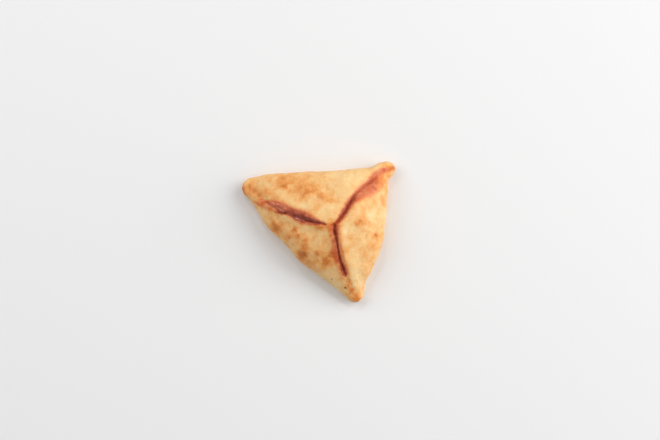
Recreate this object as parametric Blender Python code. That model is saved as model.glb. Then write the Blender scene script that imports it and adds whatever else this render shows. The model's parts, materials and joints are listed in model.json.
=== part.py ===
"""A three-cornered baked dough turnover, uncut, lying on its flat base.

A round of dough is folded up over its filling from three sides, so three puffed panels meet
along three pinched seams that run from a high point down to three pinched corners.  The right
panel laps over both of its neighbours, and the back panel laps over the front left one.
Metres, +Z up, origin in the middle of the base.
"""
import math

import bmesh
import bpy
from mathutils import Vector

MM = 0.001

# Heights
PEAK_HEIGHT = 27.0 * MM            # where the three seams meet
SIDE_WIDEST_HEIGHT = 7.0 * MM      # height at which the sides bulge furthest out
CORNER_WIDEST_HEIGHT = 4.2 * MM    # the same at the pinched corners
CORNER_REACH = 11.0 * MM           # how far a corner's low waist runs in along the sides
RIDGE_FULLNESS = 1.6               # 1 is a straight ridge from peak to corner, more is fuller
PANEL_TIGHTNESS = 0.95             # more pulls the panels flatter between ridge and side
PANEL_SPAN = 12.0 * MM             # half the distance from a ridge to the side it faces
HIP_ROUNDNESS = 1.7                # 1 is a sharp hip along each seam, 2 a round one

# The three pinched corners, in order round the outline: left, right and front.  Each is a round
# end: its middle, its radius on the side before it and after it, its top, and its seam's end.
CORNERS = (
    {"middle": (-41.8 * MM, 26.5 * MM), "radii": (5.5 * MM, 7.0 * MM), "top": 9.2 * MM,
     "seam_end": (-42.4 * MM, 26.9 * MM)},
    {"middle": (42.85 * MM, 38.95 * MM), "radii": (5.0 * MM, 4.9 * MM), "top": 8.6 * MM,
     "seam_end": (44.6 * MM, 38.7 * MM)},
    {"middle": (22.8 * MM, -38.35 * MM), "radii": (5.5 * MM, 5.6 * MM), "top": 9.0 * MM,
     "seam_end": (23.4 * MM, -39.6 * MM)},
)
LEFT, RIGHT, FRONT = range(3)

# How far each side stands out from the straight line between its corners (less than 0 is in),
# as swells: height, place along the side from 0 to 1, and reach before and after that place.
SIDE_SWELLS = (
    ((1.1 * MM, 0.12, 0.12, 0.18), (0.5 * MM, 0.35, 0.25, 0.25), (-1.9 * MM, 0.76, 0.56, 0.24),
     (-1.5 * MM, 0.88, 0.11, 0.09)),
    ((-2.1 * MM, 0.08, 0.07, 0.16), (-0.6 * MM, 0.22, 0.08, 0.09), (0.8 * MM, 0.33, 0.11, 0.11),
     (3.5 * MM, 0.57, 0.33, 0.34), (-1.2 * MM, 0.90, 0.09, 0.09)),
    ((0.3 * MM, 0.10, 0.10, 0.26), (3.7 * MM, 0.42, 0.40, 0.44), (1.1 * MM, 0.45, 0.20, 0.18),
     (3.4 * MM, 0.75, 0.26, 0.21)),
)

# The seams' lines in plan, from where they meet out to their corners
MEETING = (10.2 * MM, 5.0 * MM)
SEAM_LINES = (
    ((6.2, 4.4), (-5.0, 6.5), (-13.6, 9.0), (-22.6, 12.4), (-31.0, 17.3), (-37.0, 21.6)),
    ((14.1, 9.0), (17.3, 13.8), (19.7, 18.4), (22.6, 23.2), (27.4, 27.5), (33.0, 31.9),
     (38.4, 36.9)),
    ((10.5, -0.8), (12.15, -9.4), (13.65, -17.1), (16.05, -24.5), (18.8, -32.0)),
)

# The dough's lapping edges: a rolled lip on the upper side, with a sloping flank down into the
# crease, and on the dough it lies on a low swell, or below 0 a shallow dip, beside the crease.
# Each list is (place from 0 to 1, size in millimetres).
RIGHT_PANEL_LIP = ((0.0, 0.0), (0.06, 0.9), (0.14, 1.7), (0.30, 2.4), (0.48, 2.0), (0.56, 2.1),
                   (0.75, 1.8), (0.86, 1.1), (1.0, 0.0))
RIGHT_PANEL_FLANK = ((0.0, 3.0), (0.12, 5.0), (0.25, 6.0), (0.38, 3.6), (0.48, 2.2), (0.56, 1.8),
                     (0.72, 2.9), (0.85, 3.3), (1.0, 3.0))
RIGHT_PANEL_CREASE = ((0.0, 0.0), (0.08, 0.7), (0.35, 1.3), (0.50, 1.2), (0.60, 0.8),
                      (0.80, 1.0), (0.88, 0.0), (1.0, 0.0))
BESIDE_RIGHT_PANEL = ((0.0, 0.4), (0.44, 0.4), (0.56, -0.8), (0.76, -1.4), (0.90, -0.8),
                      (1.0, 0.0))
BACK_PANEL_LIP = ((0.0, 0.0), (0.10, 0.4), (0.28, 1.9), (0.48, 2.6), (0.62, 2.3), (0.80, 1.1),
                  (1.0, 0.0))
BACK_PANEL_FLANK = ((0.0, 1.4), (0.15, 1.8), (0.30, 4.2), (0.48, 5.4), (0.62, 4.8), (1.0, 3.0))
BACK_PANEL_CREASE = ((0.0, 0.0), (0.09, 0.2), (0.20, 1.2), (0.40, 1.4), (0.60, 1.2),
                     (0.75, 0.5), (1.0, 0.0))
BESIDE_BACK_PANEL = ((0.0, -0.8), (0.25, -1.5), (0.5, -1.5), (0.7, -0.8), (1.0, -0.3))
LIP_FADE = 7.0 * MM                # how far a lip takes to sink back, and a swell or dip to end
UNDERLAP_PLACE = 6.0 * MM          # how far the swell or dip is from the crease
UNDERLAP_FULL_LIP = 1.0 * MM       # the swell or dip is whole beside a lip of this height
CREASE_WIDTH = 0.9 * MM            # on the lip's side
UNDERLAP_CREASE_WIDTH = 0.5 * MM   # on the other side, which stands up more steeply

# The free edge of the front left dough, a low step that runs from the left corner's lower side
# into the long seam
TUCK_LINE = ((-44.0, 22.6), (-40.9, 20.2), (-37.8, 17.2), (-34.5, 15.6), (-29.8, 14.0),
             (-24.8, 12.4), (-20.0, 10.9))
TUCK_STEP = 0.9 * MM
TUCK_SLOPE = 1.5 * MM
TUCK_FADE = 4.5 * MM

# Hollows where a seam gapes: place, half length along the seam, half width, depth
SEAM_HOLLOWS = (
    ((10.3, 2.6), -88.0, 2.9, 1.5, 2.3),
    ((16.0, -23.6), -73.0, 2.6, 1.2, 1.1),
)

# Blisters and low rolls that the oven raised: place, radius and height, all in millimetres
BLISTERS = (
    (-22.0, 28.4, 4.2, 0.7), (-8.0, 23.2, 4.6, 0.6), (2.8, 21.2, 3.2, 0.6), (2.5, 33.0, 4.0, 0.4),
    (-33.0, 26.0, 5.0, 0.5), (26.8, 7.0, 5.4, 0.8), (34.9, -2.4, 3.4, 0.6), (34.4, -10.4, 4.0, 0.5),
    (37.4, 18.0, 3.6, 0.4), (29.4, -23.6, 4.4, 0.5), (-25.4, 3.4, 3.2, 0.6),
    (-17.6, -2.4, 3.0, 0.6), (-13.8, -0.6, 2.4, 0.4), (-10.2, -6.2, 2.6, 0.4),
    (-9.6, -12.4, 4.2, 0.9), (-0.6, -12.8, 3.0, 0.6), (2.8, -19.6, 3.0, 0.6),
    (-3.0, -20.6, 2.6, 0.5), (3.5, -2.6, 4.0, -0.5), (-20.0, 7.0, 4.0, -0.4),
)
WAVE_HEIGHT = 0.30 * MM            # slow unevenness of the dough all over
WAVE_LENGTHS = (23.0 * MM, 31.0 * MM)

# The base and the mesh
CURVE_FINENESS = 24                # straight steps between two points of a smooth line
TUCK_STEPS = 40                    # stations along the tuck
RELIEF_RISE = 0.2                  # share of a spoke over which relief grows in from the side
SHARP_ANGLE = math.radians(60.0)   # folds sharper than this keep a hard edge
BASE_INSET = 4.0 * MM              # how far the flat base stays inside the sides
CORNER_BASE_INSET = 2.7 * MM
ARM_STEPS = 25                     # stations along each seam
CORNER_STEPS = 6                   # stations round each corner
PANEL_RINGS = 24                   # rows of faces from the sides' widest line up to the seams
ROLL_RINGS = 5                     # rows of faces from the widest line down to the base
RING_CROWDING = 0.75               # how much the rows close up at the seams and the sides
WELD_DISTANCE = 0.00001

CRUST_COLOUR = (0.78, 0.50, 0.24, 1.0)
CRUST_ROUGHNESS = 0.62


def clear_scene():
    for existing in list(bpy.data.objects):
        bpy.data.objects.remove(existing, do_unlink=True)


def raised_cosine(x):
    """1 in the middle, 0 from a distance of 1 outward."""
    return 0.5 * (1.0 + math.cos(math.pi * min(abs(x), 1.0)))


def smooth_step(x):
    x = min(max(x, 0.0), 1.0)
    return x * x * (3.0 - 2.0 * x)


def along(table, place):
    """The size that a table of (place, size) gives at a place, eased between its entries."""
    for (start, low), (end, high) in zip(table, table[1:]):
        if place <= end:
            return low + (high - low) * smooth_step((place - start) / (end - start))
    return table[-1][1]


def in_metres(points):
    return [Vector((x * MM, y * MM)) for x, y in points]


def smooth_path(points, steps):
    """A smooth curve through the points, as steps + 1 points at even distances."""
    padded = [2 * points[0] - points[1]] + points + [2 * points[-1] - points[-2]]
    dense = []
    for a, b, c, d in zip(padded, padded[1:], padded[2:], padded[3:]):
        for i in range(CURVE_FINENESS):
            t = i / CURVE_FINENESS
            dense.append(0.5 * (2 * b + (c - a) * t + (2 * a - 5 * b + 4 * c - d) * t ** 2
                                + (3 * b - a - 3 * c + d) * t ** 3))
    dense.append(points[-1].copy())
    lengths = [0.0]
    for a, b in zip(dense, dense[1:]):
        lengths.append(lengths[-1] + (b - a).length)
    path, j = [], 0
    for i in range(steps + 1):
        wanted = lengths[-1] * i / steps
        while j < len(dense) - 2 and lengths[j + 1] < wanted:
            j += 1
        share = (wanted - lengths[j]) / (lengths[j + 1] - lengths[j])
        path.append(dense[j].lerp(dense[j + 1], share))
    return path


def nearest(path, point):
    """Distance to a path, place along it from 0 to 1, and +1 on its left or -1 on its right."""
    best = (math.inf, 0.0, 1.0)
    last = len(path) - 1
    for i in range(last):
        step = path[i + 1] - path[i]
        away = point - path[i]
        share = min(max(away.dot(step) / step.length_squared, 0.0), 1.0)
        distance = (away - step * share).length
        if distance < best[0]:
            side = step.x * away.y - step.y * away.x
            best = (distance, (i + share) / last, 1.0 if side >= 0.0 else -1.0)
    return best


def side_point(corner, place):
    """A point of the outline and its outward direction, on the side that follows a corner."""
    start, end = CORNERS[corner], CORNERS[(corner + 1) % 3]
    a, b = Vector(start["middle"]), Vector(end["middle"])
    run = b - a
    outward = Vector((-run.y, run.x)).normalized()
    stand_off = start["radii"][1] + (end["radii"][0] - start["radii"][1]) * place
    for height, centre, before, after in SIDE_SWELLS[corner]:
        reach = before if place < centre else after
        stand_off += height * raised_cosine((place - centre) / reach)
    return a + run * place + outward * stand_off, outward


def corner_point(corner, place):
    """A point of the outline and its outward direction, round a corner."""
    before = side_point((corner + 2) % 3, 1.0)[1]
    after = side_point(corner, 0.0)[1]
    turn = (math.atan2(after.y, after.x) - math.atan2(before.y, before.x)) % (2 * math.pi)
    turn -= 2 * math.pi
    angle = math.atan2(before.y, before.x) + turn * place
    outward = Vector((math.cos(angle), math.sin(angle)))
    first, second = CORNERS[corner]["radii"]
    radius = first + (second - first) * smooth_step(place)
    return Vector(CORNERS[corner]["middle"]) + outward * radius, outward


def seam_arms():
    """Each seam's line in plan, from the meeting point to its end on a corner."""
    arms = []
    for line, corner in zip(SEAM_LINES, CORNERS):
        points = [Vector(MEETING)] + in_metres(line) + [Vector(corner["seam_end"])]
        arms.append(smooth_path(points, ARM_STEPS))
    return arms


def side_place_facing_meeting(corner):
    a = Vector(CORNERS[corner]["middle"])
    run = Vector(CORNERS[(corner + 1) % 3]["middle"]) - a
    return (Vector(MEETING) - a).dot(run) / run.length_squared


def spokes(arms):
    """Lines from the outline in to the seams, in order round the part.

    Each is (outline point, outward direction, seam point).  On every side they run up one seam
    to the meeting point and down the next, and round every corner they fan out from its middle.
    """
    result = []
    for corner in (LEFT, RIGHT, FRONT):
        middle = side_place_facing_meeting(corner)
        following = (corner + 1) % 3
        for i in range(1, CORNER_STEPS):
            point, outward = corner_point(corner, i / CORNER_STEPS)
            result.append((point, outward, arms[corner][-1]))
        for i in range(2 * ARM_STEPS + 1):
            if i <= ARM_STEPS:
                place = middle * i / ARM_STEPS
                inner = arms[corner][ARM_STEPS - i]
            else:
                place = middle + (1.0 - middle) * (i - ARM_STEPS) / ARM_STEPS
                inner = arms[following][i - ARM_STEPS]
            point, outward = side_point(corner, place)
            result.append((point, outward, inner))
    return result


def cornerness(point):
    """1 in the middle of a pinched corner, sinking to 0 away from it."""
    closest = min((point - Vector(c["middle"])).length for c in CORNERS)
    return math.exp(-(closest / CORNER_REACH) ** 2)


def widest_height(point):
    blend = cornerness(point)
    return SIDE_WIDEST_HEIGHT + (CORNER_WIDEST_HEIGHT - SIDE_WIDEST_HEIGHT) * blend


def ridge_height(corner, place):
    top = CORNERS[corner]["top"]
    return top + (PEAK_HEIGHT - top) * (1.0 - place ** RIDGE_FULLNESS)


def dome_height(point, arms, outline):
    """The puffed form without its seams' relief: full height on the ridges, round to the sides."""
    waist = widest_height(point)
    pull = PANEL_TIGHTNESS * PANEL_SPAN ** (1.0 - HIP_ROUNDNESS)
    to_side = max(nearest(outline, point)[0], 1e-9)
    total, weight = 0.0, pull / to_side
    for corner, arm in enumerate(arms):
        to_seam, place, _ = nearest(arm, point)
        share = max(to_seam, 1e-6) ** -HIP_ROUNDNESS
        total += share * (ridge_height(corner, place) - waist) ** 2
        weight += share
    return waist + math.sqrt(total / weight)


def lap_relief(distance, place, lip, flank, crease, beside):
    """The step of one dough edge lying on another; distance is above 0 on the upper side."""
    crease_width = CREASE_WIDTH if distance > 0.0 else UNDERLAP_CREASE_WIDTH
    height = -along(crease, place) * MM * math.exp(-(distance / crease_width) ** 2)
    size, rise_width = along(lip, place) * MM, along(flank, place) * MM
    if distance < 0.0:
        size = along(beside, place) * MM * min(size / UNDERLAP_FULL_LIP, 1.0)
        rise_width = UNDERLAP_PLACE
    past_crest = max(abs(distance) - rise_width, 0.0)
    fade = math.exp(-(past_crest / LIP_FADE) ** 2)
    return height + size * smooth_step(abs(distance) / rise_width) * fade


def tuck_relief(point, tuck):
    """The low step of the front left dough's free edge; it stands up on the seam's side."""
    distance, place, side = nearest(tuck, point)
    step = 0.5 * TUCK_STEP * math.sin(math.pi * place)
    return side * step * smooth_step(distance / TUCK_SLOPE) * math.exp(-(distance / TUCK_FADE) ** 2)


def hollow_relief(point):
    height = 0.0
    for (x, y), heading, half_length, half_width, depth in SEAM_HOLLOWS:
        away = point - Vector((x * MM, y * MM))
        run = Vector((math.cos(math.radians(heading)), math.sin(math.radians(heading))))
        lengthways = away.dot(run) / (half_length * MM)
        sideways = (away.x * run.y - away.y * run.x) / (half_width * MM)
        height -= depth * MM * math.exp(-(lengthways ** 2 + sideways ** 2))
    return height


def blister_relief(point):
    height = 0.0
    for x, y, radius, rise in BLISTERS:
        gap = (point - Vector((x * MM, y * MM))).length / (radius * MM)
        height += rise * MM * math.exp(-gap * gap)
    first, second = WAVE_LENGTHS
    height += WAVE_HEIGHT * math.sin(2 * math.pi * (point.x + 0.4 * point.y) / first)
    height += WAVE_HEIGHT * math.cos(2 * math.pi * (point.y - 0.3 * point.x) / second)
    return height


def surface_height(point, share, arms, outline, right_edge, back_edge, tuck):
    """Height of the crust's upper face; share is 0 at the widest line and 1 on a seam."""
    height = dome_height(point, arms, outline)
    distance, place, side = nearest(right_edge, point)
    relief = lap_relief(side * distance, place, RIGHT_PANEL_LIP, RIGHT_PANEL_FLANK,
                        RIGHT_PANEL_CREASE, BESIDE_RIGHT_PANEL)
    distance, place, side = nearest(back_edge, point)
    relief += lap_relief(-side * distance, place, BACK_PANEL_LIP, BACK_PANEL_FLANK,
                         BACK_PANEL_CREASE, BESIDE_BACK_PANEL)
    relief += tuck_relief(point, tuck) + hollow_relief(point) + blister_relief(point)
    return height + relief * smooth_step(share / RELIEF_RISE)


def crowd(share, length):
    """Rows closer together at both ends of a long spoke, and even along a short one."""
    crowding = RING_CROWDING * smooth_step(length / PANEL_SPAN)
    return share + (smooth_step(share) - share) * crowding


def build_crust(collection):
    arms = seam_arms()
    lines = spokes(arms)
    outline = [line[0] for line in lines] + [lines[0][0]]
    right_edge = arms[RIGHT][::-1] + arms[FRONT][1:]
    back_edge = arms[LEFT]
    tuck = smooth_path(in_metres(TUCK_LINE), TUCK_STEPS)

    mesh = bpy.data.meshes.new("crust")
    shape = bmesh.new()
    rows = ROLL_RINGS + PANEL_RINGS
    bmesh.ops.create_grid(shape, x_segments=len(lines), y_segments=rows, size=0.5)
    for vertex in shape.verts:
        column = round((vertex.co.x + 0.5) * len(lines)) % len(lines)
        row = round((vertex.co.y + 0.5) * rows)
        outer, outward, inner = lines[column]
        if row < ROLL_RINGS:
            inset = BASE_INSET + (CORNER_BASE_INSET - BASE_INSET) * cornerness(outer)
            angle = 0.5 * math.pi * (1.0 - row / ROLL_RINGS)
            point = outer - outward * inset * (1.0 - math.cos(angle))
            height = widest_height(outer) * (1.0 - math.sin(angle))
        else:
            share = crowd((row - ROLL_RINGS) / PANEL_RINGS, (inner - outer).length)
            point = outer.lerp(inner, share)
            height = surface_height(point, share, arms, outline, right_edge, back_edge, tuck)
        vertex.co = (point.x, point.y, height)
    bmesh.ops.remove_doubles(shape, verts=shape.verts, dist=WELD_DISTANCE)
    rim = [edge for edge in shape.edges if edge.is_boundary]
    bmesh.ops.contextual_create(shape, geom=rim)
    bmesh.ops.recalc_face_normals(shape, faces=shape.faces)
    shape.to_mesh(mesh)
    shape.free()
    mesh.shade_smooth()
    mesh.set_sharp_from_angle(angle=SHARP_ANGLE)
    mesh.materials.append(crust_material())
    crust = bpy.data.objects.new("crust", mesh)
    collection.objects.link(crust)
    return crust


def crust_material():
    material = bpy.data.materials.new("baked_dough")
    material.use_nodes = True
    shader = material.node_tree.nodes["Principled BSDF"]
    shader.inputs["Base Color"].default_value = CRUST_COLOUR
    shader.inputs["Roughness"].default_value = CRUST_ROUGHNESS
    shader.inputs["Metallic"].default_value = 0.0
    return material


def main():
    clear_scene()
    parts = bpy.data.collections.new("turnover")
    bpy.context.scene.collection.children.link(parts)
    build_crust(parts)


main()
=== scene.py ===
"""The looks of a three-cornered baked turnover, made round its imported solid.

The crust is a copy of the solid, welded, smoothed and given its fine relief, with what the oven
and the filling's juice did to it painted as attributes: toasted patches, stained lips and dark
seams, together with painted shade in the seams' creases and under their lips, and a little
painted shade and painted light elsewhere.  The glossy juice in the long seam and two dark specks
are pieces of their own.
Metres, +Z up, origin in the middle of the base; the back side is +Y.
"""
import json
import math

import bpy
import numpy as np
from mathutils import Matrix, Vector
from mathutils.noise import noise_vector, seed_set

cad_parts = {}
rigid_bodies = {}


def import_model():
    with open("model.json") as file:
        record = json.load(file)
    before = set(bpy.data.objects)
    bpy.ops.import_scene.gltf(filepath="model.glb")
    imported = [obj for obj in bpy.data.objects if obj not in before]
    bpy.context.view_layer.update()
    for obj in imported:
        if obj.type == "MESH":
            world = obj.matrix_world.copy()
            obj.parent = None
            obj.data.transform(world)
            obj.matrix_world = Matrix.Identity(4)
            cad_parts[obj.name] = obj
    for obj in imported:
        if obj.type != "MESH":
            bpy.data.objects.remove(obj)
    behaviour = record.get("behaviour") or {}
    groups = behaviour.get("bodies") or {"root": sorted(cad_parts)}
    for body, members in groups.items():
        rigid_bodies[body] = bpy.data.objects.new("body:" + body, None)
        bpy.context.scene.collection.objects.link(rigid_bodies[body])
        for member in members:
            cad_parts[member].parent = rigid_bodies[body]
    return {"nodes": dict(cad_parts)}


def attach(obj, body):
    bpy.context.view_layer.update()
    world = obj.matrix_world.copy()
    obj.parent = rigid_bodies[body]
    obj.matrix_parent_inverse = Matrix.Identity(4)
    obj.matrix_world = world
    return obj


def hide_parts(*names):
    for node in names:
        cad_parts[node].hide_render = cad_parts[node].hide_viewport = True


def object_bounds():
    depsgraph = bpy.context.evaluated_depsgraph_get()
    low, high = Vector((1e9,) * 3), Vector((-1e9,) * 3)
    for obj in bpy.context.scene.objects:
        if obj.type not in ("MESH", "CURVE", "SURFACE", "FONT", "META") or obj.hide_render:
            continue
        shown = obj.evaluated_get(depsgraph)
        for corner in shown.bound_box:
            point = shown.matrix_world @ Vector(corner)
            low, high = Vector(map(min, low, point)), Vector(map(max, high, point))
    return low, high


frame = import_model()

MM = 0.001
CAD_LOW, CAD_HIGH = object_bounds()

# Camera, straight above, as the photograph's
PIXEL = 0.62 * MM                   # one pixel of the 660 pixel wide view, at the crust
FRAME_WIDTH = 660 * PIXEL
LENS, SENSOR = 85.0, 36.0
CAMERA_PLACE = (7.13 * MM, 7.44 * MM)
SHARP_HEIGHT = 8.0 * MM             # height at which a pixel has that size

# Light: lamps as (name, azimuth from +X, elevation, width, power), and the room round them.  The
# three wide ones light the scene softly, and the small one puts glints on what is wet.
LAMPS = (("low_right_lamp", 0.0, 20.0, 1.25, 13.0), ("back_right_lamp", 30.0, 40.0, 1.25, 12.4),
         ("back_left_lamp", 150.0, 40.0, 1.25, 9.5), ("glint_lamp", 105.0, 50.0, 0.26, 2.9))
LAMP_DISTANCE = 1.7
ROOM_LIGHT = 0.37
TABLE_SHADE = 0.84

# The crust's mesh
SUBDIVISION = 2
WELD = 0.01 * MM
# Two triangles become one quad up to this bend between them and this skew of its corners
QUAD_BEND, QUAD_SKEW = math.radians(50.0), math.radians(60.0)
BASE_RINGS = 5
BASE_RING_SCALE = 0.80              # each ring of the underside against the one outside it
BASE_MIDDLE = (7.0 * MM, 7.0 * MM, 0.0)

# Relief finer than the solid's: the size of its forms, and how far they move the surface
SWELLS = (7.0 * MM, 0.7 * MM)       # on the open dough
LUMPS = (2.2 * MM, 0.28 * MM)       # on all the dough
PINCHES = (1.6 * MM, 0.35 * MM)     # on the lips beside the seams
BLISTERS = (2.6 * MM, -0.45 * MM)   # on what is toasted
RIPPLES = (1.5 * MM, 0.35 * MM)     # on the juice
SPECK_LUMPS = (0.5 * MM, 0.3 * MM)
RELIEF_START, RELIEF_FADE = 0.5 * MM, 3.0 * MM  # height where it starts, and over which it grows
SEAM_REACH = 3.0 * MM
SEAM_CALM = 0.7                     # how much of the swells the seams take away
TOASTED_FROM, TOASTED_RANGE = 0.40, 0.35    # browning where blisters start, and grow over
SOLE_HEIGHT = 2.2 * MM              # up to where the sides take the colour of the underside

# Juice: the least cover that counts as wet, how far the film and its beads stand up, how far the
# film's edge sinks into the crust, and how thick it is
WET_ENOUGH = 0.2
GLAZE_RISE, BEAD_RISE = 0.30 * MM, 0.95 * MM
GLAZE_SINK, GLAZE_THICKNESS = 0.10 * MM, 0.3 * MM

# The seams' lines in plan, from where they meet out to their ends, in millimetres
MEETING = (10.2, 5.0)
SEAM_LINES = (
    (MEETING, (6.2, 4.4), (-5.0, 6.5), (-13.6, 9.0), (-22.6, 12.4), (-31.0, 17.3), (-37.0, 21.6),
     (-42.4, 26.9)),
    (MEETING, (14.1, 9.0), (17.3, 13.8), (19.7, 18.4), (22.6, 23.2), (27.4, 27.5), (33.0, 31.9),
     (38.4, 36.9), (44.6, 38.7)),
    (MEETING, (10.5, -0.8), (12.15, -9.4), (13.65, -17.1), (16.05, -24.5), (18.8, -32.0),
     (23.4, -39.6)),
)

# Strokes of colour: strength from 0 to 1, then points along the stroke as x, y and half width,
# in millimetres.  First the dark juice that filled the seams, which also stands for painted shade
# deep in their creases and gaps.
JUICE_AND_SHADE_STROKES = (
    # the long left seam, its darkest places, and a fleck near its outer end
    (0.85, (4.8, 4.7, 0.4), (3.2, 5.2, 0.8), (0.1, 5.8, 1.1), (-3.2, 6.8, 1.4),
     (-6.8, 7.9, 1.8), (-9.8, 8.7, 2.1), (-12.4, 9.6, 1.7), (-14.2, 10.6, 0.9)),
    (0.6, (-4.2, 7.2, 0.9), (-7.2, 8.2, 1.4), (-9.8, 8.9, 1.5), (-12.3, 9.7, 1.0)),
    (0.36, (-14.5, 8.7, 0.6), (-12.1, 7.9, 0.9), (-9.6, 7.4, 0.9), (-7.2, 7.0, 0.6)),
    (0.28, (-12.0, 9.8, 1.6), (-14.6, 10.9, 2.0), (-17.0, 11.8, 2.0), (-19.6, 12.0, 1.4)),
    (0.85, (-20.4, 11.5, 0.8), (-22.4, 11.9, 1.2), (-24.4, 12.6, 0.8)),
    (0.24, (-34.5, 18.7, 0.8), (-29.5, 18.3, 0.9), (-25.8, 18.4, 0.9), (-22.1, 17.2, 1.0),
     (-18.4, 15.1, 1.0), (-14.8, 13.0, 1.0), (-8.5, 12.2, 0.9)),
    (0.36, (-31.7, 18.2, 0.5), (-29.2, 17.3, 0.7), (-26.7, 16.6, 0.7), (-24.3, 15.9, 0.7),
     (-21.8, 14.9, 0.7), (-19.4, 13.4, 0.8), (-16.9, 12.1, 0.9), (-14.5, 10.8, 0.8)),
    # the right seam, dark up to its bend and then ever fainter
    (0.36, (11.4, 5.2, 1.5), (12.6, 7.0, 1.4), (13.9, 9.1, 1.6), (15.3, 11.7, 1.8),
     (16.9, 14.1, 1.9), (18.2, 16.7, 2.0), (19.6, 19.2, 1.9), (21.1, 21.5, 1.6),
     (23.0, 23.9, 1.2)),
    (0.30, (12.8, 7.4, 1.1), (13.9, 9.1, 1.5), (15.3, 11.7, 1.8),
     (16.9, 14.1, 1.8), (18.2, 16.7, 1.8), (19.2, 18.6, 1.2)),
    (0.30, (13.2, 8.2, 1.0), (13.9, 9.1, 1.4), (15.3, 11.7, 1.6),
     (16.9, 14.1, 1.5), (17.8, 15.8, 1.0)),
    (0.34, (21.8, 22.5, 1.0), (23.4, 24.1, 1.2), (25.7, 26.4, 1.3), (28.9, 28.8, 1.3),
     (31.9, 31.4, 1.5), (33.6, 33.9, 1.6), (35.5, 36.2, 1.6), (38.5, 38.4, 1.3),
     (40.4, 39.2, 0.8)),
    # the front seam, with its two dark blobs
    (0.45, (9.9, 4.2, 1.5), (10.2, 2.2, 1.9)),
    (0.45, (8.9, 3.8, 1.5), (8.9, 2.4, 1.8), (9.4, 0.4, 1.2), (10.1, -1.6, 0.7)),
    (0.88, (10.3, 0.4, 1.2), (10.5, -0.8, 1.3), (11.1, -3.8, 1.0), (11.7, -6.9, 0.75),
     (12.1, -9.9, 0.7), (12.5, -13.0, 0.75), (13.2, -16.1, 0.8), (14.1, -19.2, 1.0),
     (15.1, -22.4, 1.7), (16.2, -25.2, 1.5), (16.9, -27.2, 0.6)),
)

# The juice's salmon and red-brown stain beside the seams, with painted shade under their lips
STAIN_AND_SHADE_STROKES = (
    # the long left seam: the band, and the crease under the tuck that runs into it
    (0.40, (-36.5, 20.0, 1.0), (-33.2, 18.2, 1.8), (-29.5, 17.3, 2.3), (-25.8, 16.4, 3.2),
     (-22.1, 14.9, 3.4), (-18.4, 13.2, 3.1), (-14.8, 11.6, 2.9), (-11.0, 10.6, 3.4),
     (-7.3, 9.6, 3.2), (-3.6, 7.8, 2.3), (0.1, 5.9, 1.8), (3.8, 5.0, 1.1)),
    (0.26, (-25.0, 15.6, 1.6), (-22.1, 14.7, 2.6), (-18.4, 13.0, 2.6), (-14.8, 11.6, 2.4),
     (-11.0, 10.4, 3.0), (-7.3, 9.4, 2.8), (-3.6, 7.6, 2.0), (0.1, 5.9, 1.5)),
    # the tuck's crease: its stain is partly a painted shadow under the tuck's edge
    (0.30, (-39.0, 18.4, 0.7), (-34.5, 15.8, 0.9), (-29.8, 13.9, 0.9), (-25.8, 12.7, 1.1),
     (-22.5, 12.0, 1.0)),
    # the dough just below the seam: its stain is partly painted shade under the back panel's lip
    (0.44, (-16.4, 9.3, 0.7), (-14.4, 8.1, 1.2), (-12.1, 6.7, 1.5), (-9.6, 6.0, 1.5),
     (-7.2, 5.6, 1.3), (-4.7, 5.2, 1.1), (-2.0, 4.8, 0.8)),
    # the right seam: a narrow band that widens to its middle and runs out to the corner
    (0.38, (12.3, 6.7, 1.5), (14.6, 9.4, 1.7), (16.6, 12.1, 1.9), (18.3, 15.0, 2.0),
     (20.2, 17.9, 2.0), (21.8, 20.4, 1.6)),
    (0.42, (20.7, 19.0, 2.3), (23.5, 21.5, 3.2), (26.3, 23.7, 3.9), (29.2, 25.9, 4.3),
     (32.2, 28.5, 4.2), (34.4, 31.5, 3.3), (36.6, 35.1, 2.1), (40.0, 37.7, 1.7),
     (43.5, 38.3, 1.3)),
    (0.26, (23.2, 21.0, 2.2), (26.4, 23.6, 3.1), (29.4, 25.8, 3.3), (32.2, 28.3, 3.0),
     (34.0, 30.6, 1.8)),
    (0.16, (33.0, 23.5, 2.0), (37.0, 27.5, 2.6), (39.5, 31.5, 2.2)),
    (0.30, (33.8, 27.6, 0.8), (35.4, 26.2, 0.8)),
    (0.20, (40.6, 38.2, 1.6), (43.4, 39.4, 1.5)),
    # the front seam: the lip on its right, and on its left the lower dough, whose stain is partly
    # painted shade cast by the right panel's lip
    (0.28, (11.9, 3.6, 1.7), (12.1, 1.2, 1.9), (12.4, -0.8, 1.7), (12.9, -3.8, 1.5),
     (13.4, -6.9, 1.4),
     (13.8, -9.9, 1.3), (14.2, -13.0, 1.3), (15.0, -16.1, 1.4), (15.9, -19.2, 1.5),
     (17.0, -22.3, 1.8), (18.2, -25.4, 1.5)),
    (0.10, (6.2, 4.4, 1.0), (8.2, 4.4, 1.5), (9.4, 5.8, 1.2)),
    (0.28, (7.6, 1.8, 1.4), (8.4, -1.5, 1.6), (9.5, -5.0, 1.8)),
    (0.30, (10.7, -8.2, 0.9), (11.4, -11.4, 1.1), (12.0, -14.0, 1.0), (12.6, -16.6, 0.8)),
    (0.48, (9.3, -5.0, 1.2), (10.0, -8.5, 1.9), (10.4, -12.0, 2.4), (11.2, -17.3, 1.7)),
    (0.16, (11.6, -18.6, 1.8), (13.4, -24.0, 1.8), (15.0, -28.0, 1.3)),
)

# Glossy juice that welled up out of the long seam
GLAZE_STROKES = (
    (1.0, (-30.5, 17.8, 0.9), (-26.5, 16.3, 1.5), (-22.5, 13.9, 1.9), (-18.5, 12.2, 1.8),
     (-14.5, 10.6, 1.8), (-10.9, 9.2, 1.9), (-7.2, 8.3, 1.6), (-3.5, 7.0, 1.1),
     (0.5, 5.7, 0.8)),
)
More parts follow.
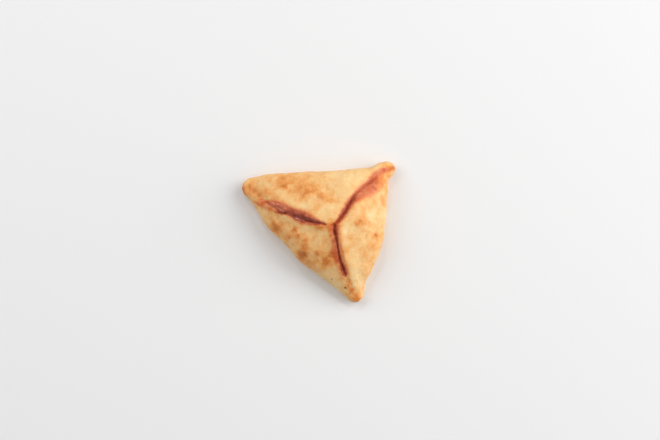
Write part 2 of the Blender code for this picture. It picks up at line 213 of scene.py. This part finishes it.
# Beads that stand up on it
BEAD_STROKES = (
    (0.7, (-28.2, 17.4, 1.1), (-25.4, 16.6, 1.4)),
    (1.0, (-23.4, 12.9, 0.85), (-22.0, 12.6, 0.85)),
    (0.9, (-20.4, 13.9, 0.75), (-19.4, 13.5, 0.7)),
    (0.6, (-17.4, 11.8, 0.8), (-15.2, 10.8, 0.9)),
    (0.8, (-13.3, 8.8, 0.9), (-12.1, 8.5, 0.9)),
    (0.7, (-9.9, 8.1, 0.8), (-8.9, 7.9, 0.9)),
    (0.4, (-7.0, 9.2, 0.8), (-4.4, 7.9, 0.7)),
)

# Toasted and pale places of the crust, among them a few of painted shade and one of painted light:
# x, y, radius in millimetres, and how much browner
BROWNING_AND_SHADE = (
    # the back panel
    (-20.6, 28.6, 2.0, 0.42), (-24.0, 28.2, 2.0, 0.16), (-17.4, 31.9, 4.0, 0.22),
    (-12.0, 26.0, 6.0, 0.18), (-8.2, 23.1, 1.6, 0.30), (-4.5, 24.5, 2.0, 0.12),
    (-8.0, 31.0, 5.0, 0.12), (1.4, 21.6, 1.8, 0.34), (6.8, 19.3, 2.4, 0.34),
    (1.2, 32.6, 3.4, 0.12), (13.8, 34.6, 4.0, -0.16), (36.0, 39.0, 4.0, -0.16),
    (-16.0, 19.5, 4.0, -0.10), (16.7, 28.8, 8.0, -0.15), (7.4, 34.4, 4.0, -0.14),
    (26.0, 33.2, 5.0, -0.22), (10.0, 16.0, 5.0, -0.10), (4.0, 10.5, 4.0, -0.15),
    (-38.4, 24.8, 3.6, 0.18), (-33.6, 21.6, 3.6, 0.22), (-43.5, 25.0, 3.4, 0.24),
    # (-47.0, 26.5) and (-46.5, 24.0): the left corner's darker rim, toasting with painted shade of
    # the rim's dark side
    (-47.0, 26.5, 1.4, 0.50), (-46.5, 24.0, 1.3, 0.36), (-42.0, 29.2, 3.0, 0.16),
    (-29.0, 27.0, 6.0, 0.04),
    # (-8.6, 15.6), paler: painted light on the lit crest of the back panel's lip above the long
    # seam
    (-8.6, 15.6, 3.0, -0.18), (-17.5, 17.0, 3.0, -0.10), (42.0, 40.6, 2.4, 0.20),
    (-24.0, 32.1, 2.2, 0.15), (-20.8, 32.3, 2.4, 0.18), (-6.5, 25.0, 1.7, 0.30),
    (-3.0, 26.0, 2.0, 0.16), (-0.4, 26.0, 1.8, 0.12), (-0.2, 22.8, 1.6, 0.14),
    (2.9, 22.9, 1.8, 0.18), (6.0, 22.8, 1.8, 0.10), (9.0, 23.0, 1.8, 0.15),
    (2.9, 19.8, 1.5, 0.12), (9.4, 19.5, 1.6, 0.16), (-21.8, 19.8, 1.6, 0.16),
    (-27.0, 20.0, 2.0, 0.10), (-40.4, 19.9, 1.6, 0.16), (-37.6, 22.6, 2.0, 0.12),
    (-10.9, 27.4, 2.2, -0.10),
    # the right panel
    (26.2, 5.2, 3.4, 0.27), (23.6, 5.4, 2.0, 0.12), (26.0, -2.6, 5.0, -0.08),
    (33.4, -7.8, 3.0, 0.12), (37.5, -3.0, 3.4, 0.08), (31.5, 1.6, 3.0, 0.08),
    (21.2, -22.4, 3.4, -0.16), (24.6, -31.9, 2.8, -0.24), (35.0, -2.2, 1.8, 0.32),
    (36.0, -9.6, 3.0, 0.14), (40.0, 18.5, 3.0, 0.14), (39.1, 29.4, 2.6, 0.34),
    # (46.6, 39.6): the right corner's darker rim, toasting with painted shade of the rim's dark
    # side
    (39.4, 34.0, 2.2, 0.18), (43.6, 35.6, 2.2, 0.26), (46.6, 39.6, 1.8, 0.40),
    (33.5, 10.2, 3.6, -0.26), (17.4, 1.6, 3.0, -0.34),
    (23.6, -27.0, 4.0, -0.26), (22.3, -16.4, 3.0, -0.20), (40.3, 10.2, 3.0, -0.26),
    (33.0, 16.0, 4.0, 0.04), (23.2, -40.9, 2.6, 0.44), (25.0, -38.7, 1.8, 0.04),
    (24.4, 10.5, 1.8, 0.18), (27.8, 10.4, 2.2, 0.12), (24.4, 1.0, 1.8, -0.18),
    (24.3, -1.6, 1.6, -0.12), (21.4, 1.4, 1.5, -0.10), (32.0, 0.2, 2.2, 0.09),
    # the pinched dough between the front seam's end and the front corner: toasting and painted
    # shade in the pinch's crease
    (18.2, -29.4, 1.7, 0.30), (19.2, -31.8, 1.7, 0.30), (19.0, -34.4, 1.8, 0.30),
    (20.3, -36.4, 1.8, 0.40), (22.0, -38.0, 2.0, 0.16),
    # the front left panel
    (-9.6, -12.7, 3.4, 0.52), (-11.2, -16.0, 2.6, 0.18), (-7.2, -17.0, 3.0, 0.20),
    (-3.1, -20.8, 2.6, 0.14), (0.0, -12.7, 2.8, 0.24), (4.3, -17.7, 2.8, 0.36),
    # (12.4, -22.0): painted shade in the dip beside the front seam
    (3.1, -21.6, 2.2, 0.22), (12.4, -22.0, 2.4, 0.14), (8.2, -14.2, 3.2, 0.44),
    (-8.5, -8.0, 2.6, 0.22), (-14.6, -1.6, 1.8, 0.24), (-12.4, -1.6, 1.4, 0.12),
    (-15.6, 1.2, 1.5, 0.14), (0.0, -10.9, 2.0, 0.15), (3.0, -10.6, 2.0, 0.12),
    (-0.3, -17.3, 1.8, 0.20), (-10.6, -8.0, 1.8, 0.12),
    # (-28.4, 7.4): painted shade on the dough below the long seam's lip
    (7.4, -19.8, 2.4, 0.18), (-23.0, 3.4, 2.4, 0.28), (-28.4, 7.4, 2.2, 0.14),
    (-26.7, 2.2, 2.2, 0.46), (-24.5, -0.5, 1.8, 0.30), (-28.3, 4.6, 1.9, 0.34),
    (-19.8, -2.8, 1.8, 0.14), (-17.4, -2.8, 1.3, 0.28), (-14.9, 1.6, 1.4, 0.40),
    (-12.0, -2.0, 1.5, 0.36), (-7.9, -4.8, 2.2, 0.34), (1.9, 3.4, 1.7, 0.40),
    (-0.8, 4.2, 1.6, 0.26), (4.8, 3.2, 1.5, 0.24),
    (7.4, 1.5, 1.5, 0.34), (7.2, 3.8, 2.0, 0.36), (7.6, -2.5, 1.3, 0.22), (3.7, -1.6, 2.5, -0.20),
    (4.3, -27.0, 5.0, -0.18), (10.5, -33.2, 5.0, -0.26), (-1.0, -3.4, 2.2, -0.08),
    # the strip between the tuck and the long seam
    (-37.2, 17.3, 1.5, 0.26), (-34.7, 17.7, 1.6, 0.28), (-29.8, 14.6, 1.6, 0.34),
    (-25.5, 13.0, 1.2, 0.26),
)
BROWNING_BASE = 0.42
# How the painted colours wander sideways, as (size, reach): the toasted places with their painted
# shade and light, and the strokes
BROWNING_AND_SHADE_DRIFTS = ((3.4 * MM, 1.1 * MM), (1.3 * MM, 0.45 * MM))
STROKE_DRIFTS = ((1.5 * MM, 0.35 * MM), (0.7 * MM, 0.2 * MM))
DRIFT_SEED = 3
SOFT_EDGE, CLEAR_EDGE = 2.0, 3.6    # how quickly a stroke ends at its border, more is quicker
PAINT_LOW, PAINT_FULL = 3.0 * MM, 5.0 * MM   # the strokes start at this height, full from there

SPECKS = ((8.3, -29.0, 0.45), (16.7, -34.4, 0.75))       # x, y and half length in millimetres
SPECK_SHAPE = (1.0, 0.72, 0.42)


def deselect_all():
    for other in bpy.context.view_layer.objects:
        other.select_set(False)


def activate(piece):
    deselect_all()
    piece.select_set(True)
    bpy.context.view_layer.objects.active = piece


def smooth_step(x):
    x = np.clip(x, 0.0, 1.0)
    return x * x * (3.0 - 2.0 * x)


def points_of(piece):
    """The piece's points as an array."""
    spots = np.empty(len(piece.data.vertices) * 3)
    piece.data.vertices.foreach_get("co", spots)
    return spots.reshape(-1, 3)


def give_attribute(piece, name, values):
    attribute = piece.data.attributes.new(name, "FLOAT", "POINT")
    attribute.data.foreach_set("value", np.asarray(values, dtype=np.float32))


def give_group(piece, name, weights):
    """A vertex group with a weight for every point, in a hundred steps."""
    group = piece.vertex_groups.new(name=name)
    steps = np.round(np.clip(weights, 0.0, 1.0) * 100).astype(int)
    for step in np.unique(steps[steps > 0]):
        group.add(np.nonzero(steps == step)[0].tolist(), step / 100, "REPLACE")


def apply_modifier(piece, kind, **settings):
    activate(piece)
    modifier = piece.modifiers.new(kind.lower(), kind)
    for name, value in settings.items():
        setattr(modifier, name, value)
    bpy.ops.object.modifier_apply(modifier=modifier.name)


def lumpy(name, relief, depth=1):
    """Settings that displace a piece by soft clouds."""
    size, strength = relief
    texture = bpy.data.textures.new(name, "CLOUDS")
    texture.noise_scale = size
    texture.noise_depth = depth
    return {"texture": texture, "strength": strength, "mid_level": 0.5, "texture_coords": "LOCAL"}


def blistered(name, relief):
    """Settings that displace a piece by round cells."""
    size, strength = relief
    texture = bpy.data.textures.new(name, "VORONOI")
    texture.noise_scale = size
    texture.distance_metric = "DISTANCE_SQUARED"
    return {"texture": texture, "strength": strength, "mid_level": 0.5, "texture_coords": "LOCAL"}


def displace(piece, **settings):
    apply_modifier(piece, "DISPLACE", **settings)


# ---------------------------------------------------------------- painting

def stroke_cover(points, flat, edge):
    """How far a stroke covers each spot: 1 along its middle, a half at its half width."""
    stations = np.array(points) * MM
    nearness = np.full(len(flat), np.inf)
    for start, end in zip(stations, stations[1:]):
        run = end[:2] - start[:2]
        away = flat - start[:2]
        share = np.clip(away @ run / (run @ run), 0.0, 1.0)
        gap = np.linalg.norm(away - share[:, None] * run, axis=1)
        nearness = np.minimum(nearness, gap / (start[2] + share * (end[2] - start[2])))
    return 0.5 ** (nearness ** edge)


def paint_strokes(strokes, flat, edge):
    """How deeply the strokes together colour each spot, from 0 to 1."""
    bare = np.ones(len(flat))
    for strength, *points in strokes:
        bare *= 1.0 - strength * stroke_cover(points, flat, edge)
    return 1.0 - bare


def wander(spots, drifts):
    """The spots in plan, each with a smooth random step, so that painted edges run unevenly."""
    seed_set(DRIFT_SEED)
    flat = spots[:, :2].copy()
    for size, reach in drifts:
        flat += reach * np.array([noise_vector(Vector(spot) / size)[:2] for spot in spots])
    return flat


def paint_browning_and_shade(flat):
    """How brown each spot is painted, by the oven's toasting and at a few places by painted shade
    and painted light: 0 is pale and 1 is dark.
    """
    browning_and_shade = np.full(len(flat), BROWNING_BASE)
    for x, y, radius, amount in BROWNING_AND_SHADE:
        gap = np.hypot(flat[:, 0] - x * MM, flat[:, 1] - y * MM) / (radius * MM)
        browning_and_shade += amount * np.exp(-gap ** 2)
    return browning_and_shade


def seam_nearness(flat, reach):
    """1 on a seam's line, falling off to 0 past its reach."""
    covers = [stroke_cover([(*point, reach / MM) for point in line], flat, SOFT_EDGE)
              for line in SEAM_LINES]
    return np.max(covers, axis=0)


# ---------------------------------------------------------------- the crust

def weld_and_square(piece):
    """The solid's triangles become welded quads again."""
    activate(piece)
    bpy.ops.object.mode_set(mode="EDIT")
    bpy.ops.mesh.select_all(action="SELECT")
    bpy.ops.mesh.remove_doubles(threshold=WELD)
    bpy.ops.mesh.tris_convert_to_quads(face_threshold=QUAD_BEND, shape_threshold=QUAD_SKEW)
    bpy.ops.mesh.select_all(action="DESELECT")
    bpy.ops.object.mode_set(mode="OBJECT")


def ring_the_base(piece):
    """The flat base becomes rings of faces round a small middle."""
    for face in piece.data.polygons:
        face.select = face.center.z < WELD
    bpy.ops.object.mode_set(mode="EDIT")
    bpy.ops.mesh.select_mode(type="FACE")
    bpy.ops.mesh.dissolve_faces()
    for _ in range(BASE_RINGS):
        bpy.ops.mesh.extrude_region()
        bpy.ops.transform.resize(value=(BASE_RING_SCALE, BASE_RING_SCALE, 1.0),
                                 center_override=BASE_MIDDLE)
    bpy.ops.object.mode_set(mode="OBJECT")


def keep_in_box(piece):
    """Draws the piece in by a hair where its relief stands out past the solid's box."""
    spots = points_of(piece)
    low, high = np.array(CAD_LOW), np.array(CAD_HIGH)
    middle = (low + high) / 2.0
    middle[2] = 0.0
    reach = np.maximum(spots.max(axis=0) - middle, middle - spots.min(axis=0))
    room = np.minimum(high - middle, middle - low)
    room[2] = high[2]               # the base stays where it is
    share = np.minimum(room / reach, 1.0)
    activate(piece)
    bpy.ops.object.mode_set(mode="EDIT")
    bpy.ops.mesh.select_all(action="SELECT")
    bpy.ops.transform.resize(value=tuple(share), center_override=tuple(middle))
    bpy.ops.object.mode_set(mode="OBJECT")


def make_crust():
    crust = bpy.data.objects.new("baked_crust", frame["nodes"]["crust"].data.copy())
    bpy.context.scene.collection.objects.link(crust)
    crust.data.materials.clear()
    weld_and_square(crust)
    ring_the_base(crust)
    apply_modifier(crust, "SUBSURF", levels=SUBDIVISION, render_levels=SUBDIVISION)

    spots = points_of(crust)
    off_floor = smooth_step((spots[:, 2] - RELIEF_START) / RELIEF_FADE)
    near_seam = seam_nearness(spots[:, :2], SEAM_REACH)
    give_group(crust, "dough", off_floor)
    give_group(crust, "open_dough", off_floor * (1.0 - SEAM_CALM * near_seam))
    give_group(crust, "lips", off_floor * near_seam)
    displace(crust, **lumpy("swells", SWELLS), vertex_group="open_dough")
    displace(crust, **lumpy("lumps", LUMPS, depth=2), vertex_group="dough")
    displace(crust, **lumpy("pinches", PINCHES), vertex_group="lips")

    spots = points_of(crust)
    stroked = wander(spots, STROKE_DRIFTS)
    above = smooth_step((spots[:, 2] - PAINT_LOW) / (PAINT_FULL - PAINT_LOW))
    browning_and_shade = paint_browning_and_shade(wander(spots, BROWNING_AND_SHADE_DRIFTS))
    stain_and_shade = above * paint_strokes(STAIN_AND_SHADE_STROKES + JUICE_AND_SHADE_STROKES, stroked, CLEAR_EDGE)
    glaze = above * paint_strokes(GLAZE_STROKES, stroked, SOFT_EDGE)
    give_attribute(crust, "browning_and_shade", browning_and_shade)
    give_attribute(crust, "stain_and_shade", stain_and_shade)
    give_attribute(crust, "wet", glaze)
    give_attribute(crust, "sole", smooth_step((SOLE_HEIGHT - spots[:, 2]) / SOLE_HEIGHT))
    give_group(crust, "glaze", glaze)
    give_group(crust, "beads", above * paint_strokes(BEAD_STROKES, stroked, SOFT_EDGE))
    toasted = smooth_step((browning_and_shade - TOASTED_FROM) / TOASTED_RANGE)
    give_group(crust, "toasted", off_floor * toasted * (1.0 - stain_and_shade))
    displace(crust, **blistered("blisters", BLISTERS), vertex_group="toasted")
    keep_in_box(crust)
    activate(crust)
    bpy.ops.object.shade_smooth()
    crust.data.materials.append(crust_material())
    return crust


def make_glaze(crust):
    """Glossy juice on the long seam: the crust's own faces there, copied, raised and thickened."""
    group = crust.vertex_groups["glaze"].index
    wet = {point.index for point in crust.data.vertices
           if any(entry.group == group and entry.weight > WET_ENOUGH for entry in point.groups)}
    activate(crust)
    bpy.ops.object.mode_set(mode="EDIT")
    bpy.ops.mesh.select_mode(type="FACE")
    bpy.ops.mesh.select_all(action="DESELECT")
    bpy.ops.object.mode_set(mode="OBJECT")
    for face in crust.data.polygons:
        face.select = all(index in wet for index in face.vertices)
    before = set(bpy.data.objects)
    bpy.ops.object.mode_set(mode="EDIT")
    bpy.ops.mesh.duplicate()
    bpy.ops.mesh.separate(type="SELECTED")
    bpy.ops.object.mode_set(mode="OBJECT")
    glaze = (set(bpy.data.objects) - before).pop()
    glaze.name = "juice_glaze"
    displace(glaze, **lumpy("ripples", RIPPLES), vertex_group="glaze")
    displace(glaze, strength=GLAZE_RISE, mid_level=0.0, vertex_group="glaze")
    displace(glaze, strength=BEAD_RISE, mid_level=0.0, vertex_group="beads")
    displace(glaze, strength=-GLAZE_SINK, mid_level=0.0)
    apply_modifier(glaze, "SOLIDIFY", thickness=GLAZE_THICKNESS, offset=-1.0)
    glaze.data.materials.clear()
    glaze.data.materials.append(glaze_material())
    return glaze


def make_specks(crust):
    """Two dark bits baked onto the front left panel, lying on the crust."""
    specks = []
    for number, (x, y, half_length) in enumerate(SPECKS):
        _, spot, up, _ = crust.ray_cast(Vector((x * MM, y * MM, 0.1)), Vector((0.0, 0.0, -1.0)))
        deselect_all()
        bpy.ops.mesh.primitive_ico_sphere_add(subdivisions=3, radius=half_length * MM,
                                              location=spot,
                                              rotation=up.to_track_quat("Z", "Y").to_euler())
        speck = bpy.context.object
        speck.scale = SPECK_SHAPE
        bpy.ops.object.transform_apply(location=True, rotation=True, scale=True)
        displace(speck, **lumpy(f"speck_{number}", SPECK_LUMPS))
        specks.append(speck)
    activate(specks[0])
    specks[1].select_set(True)
    bpy.ops.object.join()
    specks[0].name = "dark_specks"
    bpy.ops.object.shade_smooth()
    specks[0].data.materials.append(speck_material())
    return specks[0]


# ---------------------------------------------------------------- materials

DOUGH_SHADES = (
    (0.00, (0.89, 0.65, 0.34, 1.0)),
    (0.20, (0.87, 0.58, 0.265, 1.0)),
    (0.40, (0.85, 0.50, 0.200, 1.0)),
    (0.55, (0.82, 0.395, 0.125, 1.0)),
    (0.70, (0.75, 0.30, 0.077, 1.0)),
    (0.85, (0.65, 0.215, 0.044, 1.0)),
    (1.00, (0.54, 0.150, 0.024, 1.0)),
)
STAIN_AND_SHADE_TINTS = (                    # what the juice's stain and the seams' painted shade leave of the dough's own colour
    (0.00, (1.00, 1.00, 1.00, 1.0)),
    (0.12, (0.98, 0.85, 0.74, 1.0)),
    (0.28, (0.94, 0.62, 0.55, 1.0)),
    (0.45, (0.86, 0.44, 0.42, 1.0)),
    (0.62, (0.71, 0.30, 0.30, 1.0)),
    (0.80, (0.50, 0.17, 0.18, 1.0)),
    (1.00, (0.28, 0.070, 0.10, 1.0)),
)
SOLE_SHADES = (
    (0.00, (0.66, 0.36, 0.14, 1.0)),
    (0.50, (0.47, 0.20, 0.065, 1.0)),
    (1.00, (0.26, 0.095, 0.032, 1.0)),
)
WET_TINT = (0.96, 0.88, 0.86, 1.0)
CHAR_SHADES = ((0.20, 0.075, 0.025, 1.0), (0.08, 0.028, 0.012, 1.0))
# Noise patterns, as (scale per metre, detail, roughness)
BLOTCHES, SPECKLES, GRAIN = (230.0, 4.0, 0.55), (900.0, 3.0, 0.6), (3200.0, 2.0, 0.5)
CHAR_MOTTLE = (2600.0, 3.0, 0.55)
# How far the blotches and the speckles move the browning, the stain, both with some painted
# shade in them, and the underside's shade
BROWNING_AND_SHADE_SWINGS, STAIN_AND_SHADE_SWINGS, SOLE_SWINGS = (0.44, 0.14), (0.34, 0.12), (0.9, 0.35)
SOLE_SHADE = 0.45                   # the underside's middle shade
# Where the underside's colour starts and is full on the sides, and how unevenly it ends
SOLE_FROM, SOLE_FULL, SOLE_EDGE_SWING = 0.3, 0.8, 0.3
# Roughness of dry dough, how far the speckles move it, and how much smoother the juice makes it,
# over all of its stain and painted shade
DRY_ROUGH, ROUGH_SWING, STAIN_AND_SHADE_SMOOTH = 0.58, 0.10, 0.26
GRAIN_RELIEF, SPECKLE_RELIEF = 0.35, 0.5
WET_FROM, WET_FULL = 0.2, 0.7       # cover of juice at which its own shade starts and is full
WET_ROUGH, WET_SWING = 0.22, 0.08
CHAR_FROM, CHAR_FULL = 0.35, 0.65


def add_node(tree, kind, inputs=None, **settings):
    """A node with its settings, and its inputs set to values or linked to other nodes' outputs."""
    node = tree.nodes.new(kind)
    for name, value in settings.items():
        setattr(node, name, value)
    for name, value in (inputs or {}).items():
        if isinstance(value, bpy.types.NodeSocket):
            tree.links.new(value, node.inputs[name])
        else:
            node.inputs[name].default_value = value
    return node


def new_material(name):
    material = bpy.data.materials.new(name)
    material.use_nodes = True
    return material, material.node_tree, material.node_tree.nodes["Principled BSDF"]


def noise(tree, pattern):
    """A noise pattern in the piece's own space."""
    place = add_node(tree, "ShaderNodeTexCoord").outputs["Object"]
    scale, detail, roughness = pattern
    return add_node(tree, "ShaderNodeTexNoise", {
        "Vector": place, "Scale": scale, "Detail": detail, "Roughness": roughness,
    }).outputs["Fac"]


def maths(tree, operation, first, second):
    return add_node(tree, "ShaderNodeMath", {0: first, 1: second},
                    operation=operation).outputs[0]


def wobble(tree, value, pattern, amount):
    """A value moved up and down by a noise pattern, by amount at most each way."""
    swing = maths(tree, "MULTIPLY", maths(tree, "SUBTRACT", pattern, 0.5), amount * 2.0)
    return maths(tree, "ADD", value, swing)


def mottled(tree, value, blotch, speckle, swings):
    """A value moved by the blotches and by the speckles."""
    blotch_swing, speckle_swing = swings
    return wobble(tree, wobble(tree, value, blotch, blotch_swing), speckle, speckle_swing)


def fit_range(tree, value, low, high):
    """0 below low and 1 above high, with a smooth step between them."""
    return add_node(tree, "ShaderNodeMapRange", {
        "Value": value, "From Min": low, "From Max": high,
    }, interpolation_type="SMOOTHSTEP").outputs["Result"]


def blend_colours(tree, factor, first, second, kind="MIX"):
    """The first colour moved towards the second one, or multiplied by it."""
    # the inputs' names aren't unique here: 6 and 7 are the two colours, output 2 their blend
    return add_node(tree, "ShaderNodeMix", {0: factor, 6: first, 7: second}, data_type="RGBA",
                    blend_type=kind).outputs[2]


def colour_ramp(tree, value, shades):
    ramp = add_node(tree, "ShaderNodeValToRGB", {"Fac": value})
    stops = ramp.color_ramp.elements
    stops[0].position, stops[0].color = shades[0]
    stops[1].position, stops[1].color = shades[-1]
    for position, shade in shades[1:-1]:
        stops.new(position).color = shade
    return ramp.outputs["Color"]


def painted(tree, name):
    return add_node(tree, "ShaderNodeAttribute", attribute_name=name).outputs["Fac"]


def baked_colour(tree, blotch, speckle):
    """The baked dough with the juice's stain and the seams' painted shade on it, and how deep they
    are.
    """
    brown = mottled(tree, painted(tree, "browning_and_shade"), blotch, speckle, BROWNING_AND_SHADE_SWINGS)
    colour = colour_ramp(tree, brown, DOUGH_SHADES)
    uneven = mottled(tree, 1.0, blotch, speckle, STAIN_AND_SHADE_SWINGS)
    stain_and_shade = maths(tree, "MULTIPLY", painted(tree, "stain_and_shade"), uneven)
    colour = blend_colours(tree, 1.0, colour, colour_ramp(tree, stain_and_shade, STAIN_AND_SHADE_TINTS), "MULTIPLY")
    return colour, stain_and_shade


def crust_material():
    material, tree, shader = new_material("baked_dough")
    blotch, speckle, grain = (noise(tree, pattern) for pattern in (BLOTCHES, SPECKLES, GRAIN))
    colour, stain_and_shade = baked_colour(tree, blotch, speckle)
    sole_shade = mottled(tree, SOLE_SHADE, blotch, speckle, SOLE_SWINGS)
    sole_colour = colour_ramp(tree, sole_shade, SOLE_SHADES)
    sole = wobble(tree, painted(tree, "sole"), blotch, SOLE_EDGE_SWING)
    sole = fit_range(tree, sole, SOLE_FROM, SOLE_FULL)
    colour = blend_colours(tree, sole, colour, sole_colour)
    tree.links.new(colour, shader.inputs["Base Color"])

    smoother = maths(tree, "MULTIPLY", stain_and_shade, STAIN_AND_SHADE_SMOOTH)
    rough = maths(tree, "SUBTRACT", wobble(tree, DRY_ROUGH, speckle, ROUGH_SWING), smoother)
    tree.links.new(rough, shader.inputs["Roughness"])

    relief = wobble(tree, maths(tree, "MULTIPLY", grain, GRAIN_RELIEF), speckle, SPECKLE_RELIEF)
    bump = add_node(tree, "ShaderNodeBump", {"Height": relief, "Strength": 0.5,
                                             "Distance": 0.25 * MM})
    tree.links.new(bump.outputs["Normal"], shader.inputs["Normal"])
    shader.inputs["Specular IOR Level"].default_value = 0.3
    shader.inputs["Subsurface Weight"].default_value = 0.12
    shader.inputs["Subsurface Radius"].default_value = (1.0, 0.45, 0.2)
    shader.inputs["Subsurface Scale"].default_value = 2.0 * MM
    return material


def glaze_material():
    """A film of juice: the stained dough's own colour, a little deeper, with a wet shine."""
    material, tree, shader = new_material("wet_juice")
    blotch, speckle = noise(tree, BLOTCHES), noise(tree, SPECKLES)
    colour, _ = baked_colour(tree, blotch, speckle)
    wet = fit_range(tree, painted(tree, "wet"), WET_FROM, WET_FULL)
    deeper = blend_colours(tree, 1.0, colour, WET_TINT, "MULTIPLY")
    tree.links.new(blend_colours(tree, wet, colour, deeper), shader.inputs["Base Color"])
    bump = add_node(tree, "ShaderNodeBump", {"Height": speckle, "Strength": 0.3,
                                             "Distance": 0.3 * MM})
    tree.links.new(bump.outputs["Normal"], shader.inputs["Normal"])
    tree.links.new(wobble(tree, WET_ROUGH, speckle, WET_SWING), shader.inputs["Roughness"])
    shader.inputs["Specular IOR Level"].default_value = 0.35
    shader.inputs["Coat Weight"].default_value = 0.45
    shader.inputs["Coat Roughness"].default_value = 0.07
    return material


def speck_material():
    material, tree, shader = new_material("charred_bit")
    mottle = fit_range(tree, noise(tree, CHAR_MOTTLE), CHAR_FROM, CHAR_FULL)
    colour = blend_colours(tree, mottle, *CHAR_SHADES)
    tree.links.new(colour, shader.inputs["Base Color"])
    shader.inputs["Roughness"].default_value = 0.6
    return material


# ---------------------------------------------------------------- surroundings

def make_floor():
    deselect_all()
    bpy.ops.mesh.primitive_plane_add(size=6.0, location=(0.0, 0.0, 0.0))
    floor = bpy.context.object
    floor.name = "table_top"
    material, tree, shader = new_material("pale_table")
    shader.inputs["Base Color"].default_value = (TABLE_SHADE, TABLE_SHADE, TABLE_SHADE, 1.0)
    shader.inputs["Roughness"].default_value = 0.7
    floor.data.materials.append(material)


def make_light():
    world = bpy.data.worlds.new("room")
    world.use_nodes = True
    background = world.node_tree.nodes["Background"]
    background.inputs["Color"].default_value = (1.0, 1.0, 1.0, 1.0)
    background.inputs["Strength"].default_value = ROOM_LIGHT
    bpy.context.scene.world = world
    for name, azimuth, elevation, width, power in LAMPS:
        lamp = bpy.data.lights.new(name, "AREA")
        lamp.shape = "DISK"
        lamp.size = width
        lamp.energy = power
        turn, rise = math.radians(azimuth), math.radians(elevation)
        direction = Vector((math.cos(rise) * math.cos(turn), math.cos(rise) * math.sin(turn),
                            math.sin(rise)))
        holder = bpy.data.objects.new(name, lamp)
        holder.location = direction * LAMP_DISTANCE
        holder.rotation_euler = direction.to_track_quat("Z", "Y").to_euler()
        bpy.context.scene.collection.objects.link(holder)


def make_camera():
    data = bpy.data.cameras.new("view")
    data.lens, data.sensor_width = LENS, SENSOR
    data.clip_start, data.clip_end = 0.01, 20.0
    camera = bpy.data.objects.new("view", data)
    height = SHARP_HEIGHT + FRAME_WIDTH * LENS / SENSOR
    camera.location = (*CAMERA_PLACE, height)
    bpy.context.scene.collection.objects.link(camera)
    bpy.context.scene.camera = camera
    bpy.context.scene.view_settings.view_transform = "Standard"


make_camera()
make_floor()
make_light()

crust = make_crust()
glaze = make_glaze(crust)
specks = make_specks(crust)
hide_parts("crust")
for piece in (crust, glaze, specks):
    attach(piece, "root")
